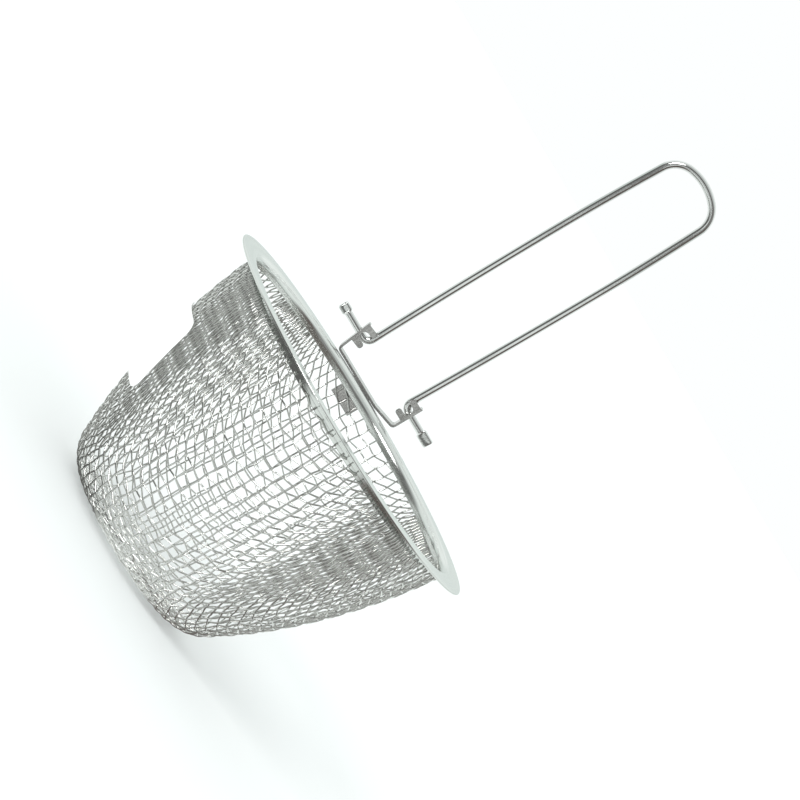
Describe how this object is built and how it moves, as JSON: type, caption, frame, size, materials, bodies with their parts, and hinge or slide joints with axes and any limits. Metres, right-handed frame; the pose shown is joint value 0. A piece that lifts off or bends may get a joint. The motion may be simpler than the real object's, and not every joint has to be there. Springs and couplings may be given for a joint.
{
  "type": "wire mesh basket strainer",
  "caption": "Round woven-wire strainer basket with a flat rim, a notched bracket and a long wire handle that folds outwards.",
  "frame": {"origin": "centre of the basket's flat base, on the basket's axis", "axes": "+Z along the basket's axis from the base to the mouth, +X towards the handle's bracket, Y along the hinge pins"},
  "size_m": [0.1329, 0.125, 0.2073],
  "materials": {
    "wire_cloth": "satin",
    "polished_sheet": "polished",
    "bracket_sheet": "satin",
    "handle_wire": "polished",
    "label_paper": "matte"
  },
  "bodies": {
    "basket": {"wire_basket": "wire_cloth", "rim_ring": "polished_sheet", "handle_bracket": "bracket_sheet", "paper_label": "label_paper"},
    "handle": {"wire_handle": "handle_wire"}
  },
  "joints": [
    {"name": "handle_fold", "type": "hinge", "parent": "basket", "child": "handle", "pos_m": [0.06535, 0, 0.08855], "axis": [0, 1, 0], "range_deg": [0, 125]}
  ]
}
